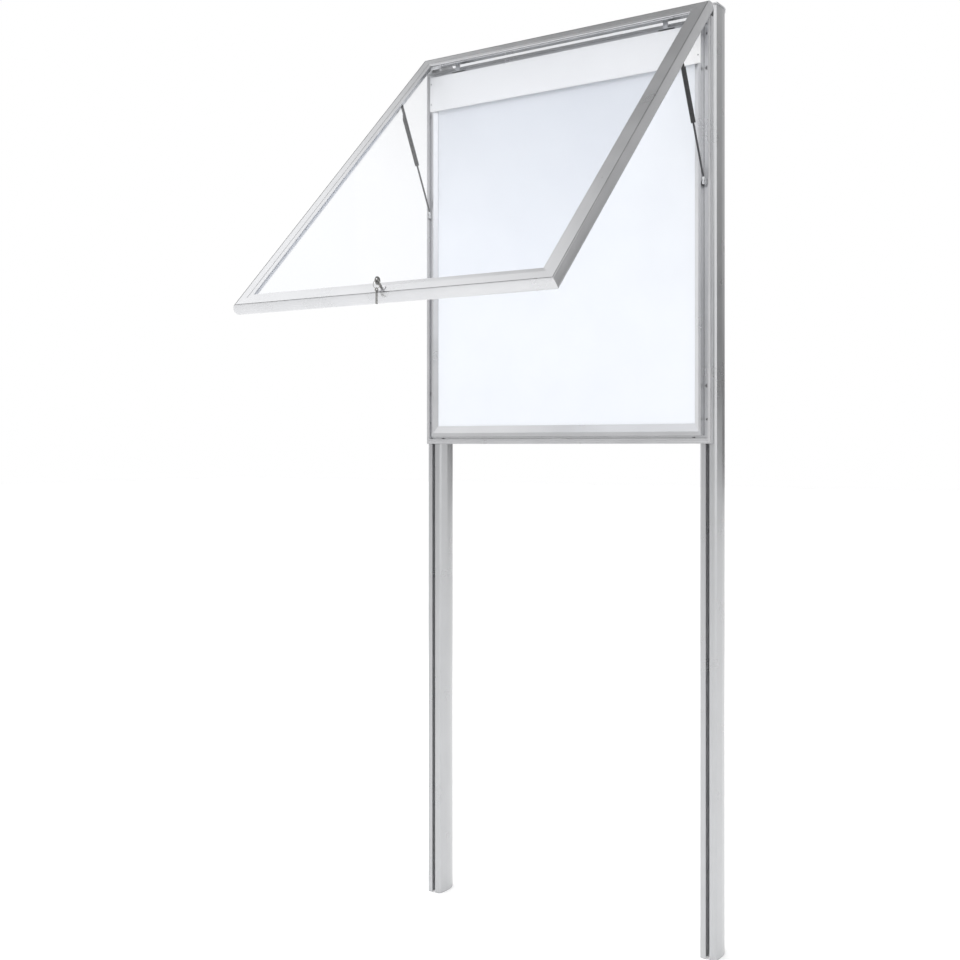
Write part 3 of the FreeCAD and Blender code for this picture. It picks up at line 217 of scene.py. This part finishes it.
def clear_pane(name):
    """Clear glazing: see-through, with a gloss that grows towards grazing angles."""
    material = bpy.data.materials.new(name)
    material.use_nodes = True
    nodes = material.node_tree.nodes
    links = material.node_tree.links
    nodes.remove(nodes["Principled BSDF"])
    clear = nodes.new("ShaderNodeBsdfTransparent")
    clear.inputs["Color"].default_value = PANE_TINT
    gloss = nodes.new("ShaderNodeBsdfGlossy")
    gloss.inputs["Color"].default_value = (1, 1, 1, 1)
    smears = noise(nodes, links, place(nodes, links, EVEN), SMEARS, 4)
    links.new(spread(nodes, links, smears, *PANE_ROUGHNESS), gloss.inputs["Roughness"])
    angle = nodes.new("ShaderNodeLayerWeight")
    angle.inputs["Blend"].default_value = FACING_BLEND
    grazing = nodes.new("ShaderNodeMath")
    grazing.operation = "POWER"
    grazing.inputs[1].default_value = GRAZING_POWER
    links.new(angle.outputs["Facing"], grazing.inputs[0])
    mix = nodes.new("ShaderNodeMixShader")
    amount = spread(nodes, links, grazing.outputs["Value"], *PANE_GLOSS, 0, 1)
    links.new(amount, mix.inputs["Fac"])
    links.new(clear.outputs["BSDF"], mix.inputs[1])
    links.new(gloss.outputs["BSDF"], mix.inputs[2])
    links.new(mix.outputs["Shader"], nodes["Material Output"].inputs["Surface"])
    return material


# Stretches for the drawn lines, and the tones of the finishes. The edge tones stand for wear and
# a painted highlight together.
ALONG_X = (0.01, 1, 1)
ALONG_Z = (1, 1, 0.01)
SILVER_DARK = (0.62, 0.625, 0.64)
SILVER_LIGHT = (0.67, 0.675, 0.69)
SILVER_WEAR_AND_HIGHLIGHT = (0.82, 0.825, 0.83)
POST_DARK = (0.50, 0.505, 0.515)
POST_LIGHT = (0.54, 0.545, 0.555)
BRIGHT_WEAR_AND_HIGHLIGHT = (0.85, 0.85, 0.86)
DARK_WEAR_AND_HIGHLIGHT = (0.30, 0.30, 0.31)

# The door stands open by this angle at rest, so the lines on its side rails lean with it.
DOOR_TURN = 45

silver_x = extruded_metal("silver_across", SILVER_DARK, SILVER_LIGHT, SILVER_WEAR_AND_HIGHLIGHT, ALONG_X)
silver_z = extruded_metal("silver_upright", SILVER_DARK, SILVER_LIGHT, SILVER_WEAR_AND_HIGHLIGHT, ALONG_Z)
silver_post = extruded_metal("silver_post", POST_DARK, POST_LIGHT, SILVER_WEAR_AND_HIGHLIGHT, ALONG_Z)
silver_door = extruded_metal("silver_door_side", SILVER_DARK, SILVER_LIGHT, SILVER_WEAR_AND_HIGHLIGHT,
                             ALONG_Z, DOOR_TURN)
zinc = plated_steel("zinc_plate", (0.50, 0.51, 0.53), (0.66, 0.67, 0.68), BRIGHT_WEAR_AND_HIGHLIGHT,
                    (0.25, 0.45))
dull_zinc = plated_steel("dull_zinc", (0.24, 0.24, 0.25), (0.34, 0.34, 0.35), BRIGHT_WEAR_AND_HIGHLIGHT,
                         (0.30, 0.45))
bright = plated_steel("bright_steel", (0.55, 0.55, 0.57), (0.68, 0.68, 0.70), BRIGHT_WEAR_AND_HIGHLIGHT,
                      (0.10, 0.20))
dark_steel = plated_steel("dark_steel", (0.05, 0.05, 0.055), (0.09, 0.09, 0.095), DARK_WEAR_AND_HIGHLIGHT,
                          (0.18, 0.30))
nickel = plated_steel("nickel_plate", (0.22, 0.22, 0.21), (0.58, 0.57, 0.55), BRIGHT_WEAR_AND_HIGHLIGHT,
                      (0.15, 0.30), FINE_SPECKLE)
enamel = coated("black_enamel", (0.010, 0.010, 0.012), (0.018, 0.018, 0.020), (0.22, 0.34), 900,
                0.05)
rubber = coated("black_rubber", (0.015, 0.015, 0.015), (0.03, 0.03, 0.03), (0.6, 0.8), 1200, 0.2)
grey_rubber = coated("grey_rubber", (0.44, 0.44, 0.45), (0.52, 0.52, 0.53), (0.5, 0.7), 1200,
                     0.15)
plastic = coated("grey_plastic", (0.10, 0.10, 0.11), (0.14, 0.14, 0.15), (0.4, 0.55), 1500, 0.15)
board_white = coated("board_white", (0.83, 0.855, 0.90), (0.85, 0.875, 0.915), (0.10, 0.16), 300,
                     0.02)
header_white = coated("header_white", (0.95, 0.952, 0.956), (0.97, 0.97, 0.973), (0.25, 0.35),
                      300, 0.03)
pane = clear_pane("clear_pane")

# The finish of each node, by how its name starts. The first line that fits is used.
FINISHES = [
    (("post_foot", "drain_plugs"), plastic),
    (("post_cap",), silver_x),
    (("post_",), silver_post),
    (("case_rail_left", "case_rail_right", "case_back_sheet"), silver_z),
    (("case_rail", "case_corner"), silver_x),
    (("case_seal",), grey_rubber),
    (("glazing_gasket",), rubber),
    (("poster_frame_left", "poster_frame_right"), silver_z),
    (("poster_frame",), silver_x),
    (("poster_board",), board_white),
    (("header_panel",), header_white),
    (("door_left_rail", "door_right_rail"), silver_door),
    (("glazing_bead_left", "glazing_bead_right"), silver_door),
    (("door_pane",), pane),
    (("door_stud",), zinc),
    (("door_", "glazing_bead"), silver_x),
    (("strut_tube", "strut_blade"), enamel),
    (("strut_rod",), dark_steel),
    (("lock_housing", "lock_plug"), bright),
    (("lock_key", "spare_key", "key_ring"), nickel),
    (("hinge_pins", "hinge_case_screws", "case_bolts", "header_screws"), dull_zinc),
    (("",), zinc),
]


def finish_for(name):
    for starts, material in FINISHES:
        if name.startswith(starts):
            return material


for name, node in NODES.items():
    node.data.materials.clear()
    node.data.materials.append(finish_for(name))


# ---------------------------------------------------------------- studio

FLOOR_REACH = 40
FLOOR_GLOW = 0.22


def make_floor():
    """A pale floor that glows a little, like the lit sweep of a studio."""
    mesh = bpy.data.meshes.new("floor")
    corners = [(x * FLOOR_REACH, y * FLOOR_REACH, 0)
               for x, y in ((-1, -1), (1, -1), (1, 1), (-1, 1))]
    mesh.from_pydata(corners, [], [(0, 1, 2, 3)])
    floor = bpy.data.objects.new("floor", mesh)
    bpy.context.scene.collection.objects.link(floor)
    white = coated("floor_white", (0.93, 0.93, 0.93), (0.95, 0.95, 0.95), (0.7, 0.9), 40, 0.02)
    shader = white.node_tree.nodes["Principled BSDF"]
    shader.inputs["Emission Color"].default_value = (1, 1, 1, 1)
    shader.inputs["Emission Strength"].default_value = FLOOR_GLOW
    mesh.materials.append(white)


def make_softbox(name, centre, target, size, power):
    """A soft rectangular lamp at a centre, aimed at a target, with its power in watts."""
    light = bpy.data.lights.new(name, "AREA")
    light.shape = "RECTANGLE"
    light.size, light.size_y = size
    light.energy = power
    lamp = bpy.data.objects.new(name, light)
    lamp.location = centre
    lamp.rotation_euler = (Vector(target) - Vector(centre)).to_track_quat("-Z", "Y").to_euler()
    bpy.context.scene.collection.objects.link(lamp)


# The studio's brightness by direction. A ramp position of one is straight at DARK_SIDE and zero
# is straight away from it.
DARK_SIDE = (0.10, 0.75, 0.65)
WORLD_STRENGTH = 1.4
WORLD_STEPS = [(0.15, 0.28), (0.25, 0.48), (0.38, 0.80), (0.77, 0.98), (0.80, 0.85),
               (0.83, 0.36), (0.85, 0.08), (0.88, 0.06), (0.92, 0.38), (1.0, 0.50)]


def make_world():
    """A white studio that is darker high up at the back."""
    world = bpy.data.worlds.new("studio")
    bpy.context.scene.world = world
    world.use_nodes = True
    nodes = world.node_tree.nodes
    links = world.node_tree.links
    coords = nodes.new("ShaderNodeTexCoord")
    towards = nodes.new("ShaderNodeVectorMath")
    towards.operation = "DOT_PRODUCT"
    towards.inputs[1].default_value = DARK_SIDE
    links.new(coords.outputs["Generated"], towards.inputs[0])
    ramp = nodes.new("ShaderNodeValToRGB")
    steps = ramp.color_ramp.elements
    while len(steps) < len(WORLD_STEPS):
        steps.new(0.5)
    for step, (place_on_ramp, brightness) in zip(steps, WORLD_STEPS):
        step.position = place_on_ramp
        step.color = (brightness, brightness, brightness, 1)
    position = spread(nodes, links, towards.outputs["Value"], 0, 1, -1.0, 1.0)
    links.new(position, ramp.inputs["Fac"])
    sky = nodes["Background"]
    links.new(ramp.outputs["Color"], sky.inputs["Color"])
    sky.inputs["Strength"].default_value = WORLD_STRENGTH
    backdrop = nodes.new("ShaderNodeBackground")
    backdrop.inputs["Color"].default_value = (1, 1, 1, 1)
    seen = nodes.new("ShaderNodeLightPath")
    mix = nodes.new("ShaderNodeMixShader")
    links.new(seen.outputs["Is Camera Ray"], mix.inputs["Fac"])
    links.new(sky.outputs["Background"], mix.inputs[1])
    links.new(backdrop.outputs["Background"], mix.inputs[2])
    links.new(mix.outputs["Shader"], nodes["World Output"].inputs["Surface"])


# The photo's camera: level, and off to the right. Its verticals stay upright, so it is shifted
# and not tilted.
CAMERA_LENS = 47.10
CAMERA_SHIFT = (0.0246, -0.0358)
CAMERA_PLACE = (1.9865, -3.4947, 1.5240)
CAMERA_TILT, CAMERA_HEADING = 90, 34.38


def make_camera():
    data = bpy.data.cameras.new("camera")
    data.lens = CAMERA_LENS
    data.shift_x, data.shift_y = CAMERA_SHIFT
    camera = bpy.data.objects.new("camera", data)
    camera.location = CAMERA_PLACE
    camera.rotation_euler = (math.radians(CAMERA_TILT), 0, math.radians(CAMERA_HEADING))
    bpy.context.scene.collection.objects.link(camera)
    bpy.context.scene.camera = camera


bpy.context.scene.view_settings.view_transform = "Standard"
make_floor()
make_world()
make_softbox("key_light", (1.0, -5.0, 4.8), (0, 0, 2.2), (4.0, 4.0), 60)
make_softbox("side_light", (4.5, -1.0, 3.0), (0, 0, 1.6), (3.0, 4.0), 6)
make_softbox("back_light", (-2.5, 4.0, 3.5), (0, 0, 2.0), (2.5, 2.5), 60)
make_camera()
